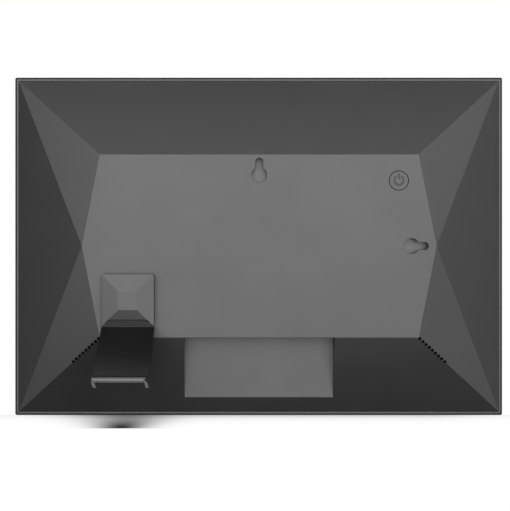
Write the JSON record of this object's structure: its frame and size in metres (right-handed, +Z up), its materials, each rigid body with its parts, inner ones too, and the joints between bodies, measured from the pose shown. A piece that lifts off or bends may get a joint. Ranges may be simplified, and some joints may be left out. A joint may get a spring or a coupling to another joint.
{
  "type": "digital photo frame",
  "caption": "Ten-inch digital photo frame leaning on a swivelling fold-out stand leg, with faceted rear cover, input recess, keyholes and a power button.",
  "frame": {"origin": "centre of the part's bounding box in X and Y, on the surface that it stands on", "axes": "+X along the frame's long side, +Y from the glass towards the back, +Z up; the frame leans back 19 degrees"},
  "size_m": [0.2656, 0.0864, 0.1766],
  "materials": {
    "cover_plastic": "fine satin texture",
    "bezel_plastic": "satin",
    "black_glass": "polished, printed black from behind",
    "foam": "closed-cell foam",
    "light_guide": "clear acrylic",
    "white_plastic": "moulded",
    "steel": "zinc plated",
    "board": "solder mask",
    "chip": "moulded epoxy",
    "flex": "polyimide film",
    "wire": "lead insulation"
  },
  "bodies": {
    "frame": {"front_bezel": "bezel_plastic", "touch_glass": "black_glass", "glass_tape": "foam", "panel_gasket": "foam", "lcd_cell": "black_glass", "light_guide": "light_guide", "led_strip": "white_plastic", "backlight_frame": "white_plastic", "lcd_tray": "steel", "rear_cover": "cover_plastic", "main_board": "board", "processor": "chip", "memory_chip": "chip", "storage_chip": "chip", "wifi_module": "steel", "power_inductor": "chip", "display_connector": "white_plastic", "display_cable": "flex", "touch_connector": "white_plastic", "touch_cable": "flex", "dc_jack": "chip", "usb_port": "steel", "sd_card_slot": "steel", "power_switch": "steel", "switch_board": "board", "switch_lead": "wire", "switch_connector": "white_plastic", "wifi_antenna": "flex", "antenna_lead": "wire", "lcd_screw_1": "steel", "board_screw_1": "steel", "speaker_screw_1": "steel", "lcd_screw_2": "steel", "board_screw_2": "steel", "speaker_screw_2": "steel", "lcd_screw_3": "steel", "board_screw_3": "steel", "speaker_screw_3": "steel", "lcd_screw_4": "steel", "board_screw_4": "steel", "speaker_screw_4": "steel", "switch_screw_1": "steel", "switch_screw_2": "steel", "speaker_left": "chip", "speaker_duct_left": "foam", "speaker_lead_left": "wire", "speaker_connector_left": "white_plastic", "speaker_right": "chip", "speaker_duct_right": "foam", "speaker_lead_right": "wire", "speaker_connector_right": "white_plastic"},
    "button": {"power_button": "cover_plastic", "switch_plunger": "chip"},
    "swivel": {"stand_block": "cover_plastic", "swivel_washer": "steel", "swivel_spring": "steel", "swivel_retainer": "steel", "swivel_screw": "steel", "leg_hinge_pin": "steel"},
    "leg": {"stand_leg": "cover_plastic"}
  },
  "joints": [
    {"name": "power_button_press", "type": "slide", "parent": "frame", "child": "button", "axis": [0, -0.9455, 0.3256], "range_m": [0, 0.0005], "stiffness_N_per_m": 400},
    {"name": "stand_swivel", "type": "hinge", "parent": "frame", "child": "swivel", "pos_m": [0.06945, 0.00254, 0.05389], "axis": [0, -0.9455, 0.3256], "range_deg": [0, 90]},
    {"name": "leg_fold", "type": "hinge", "parent": "swivel", "child": "leg", "pos_m": [0.06945, 0.00096, 0.04132], "axis": [-1, 0, 0], "range_deg": [0, 60]}
  ]
}
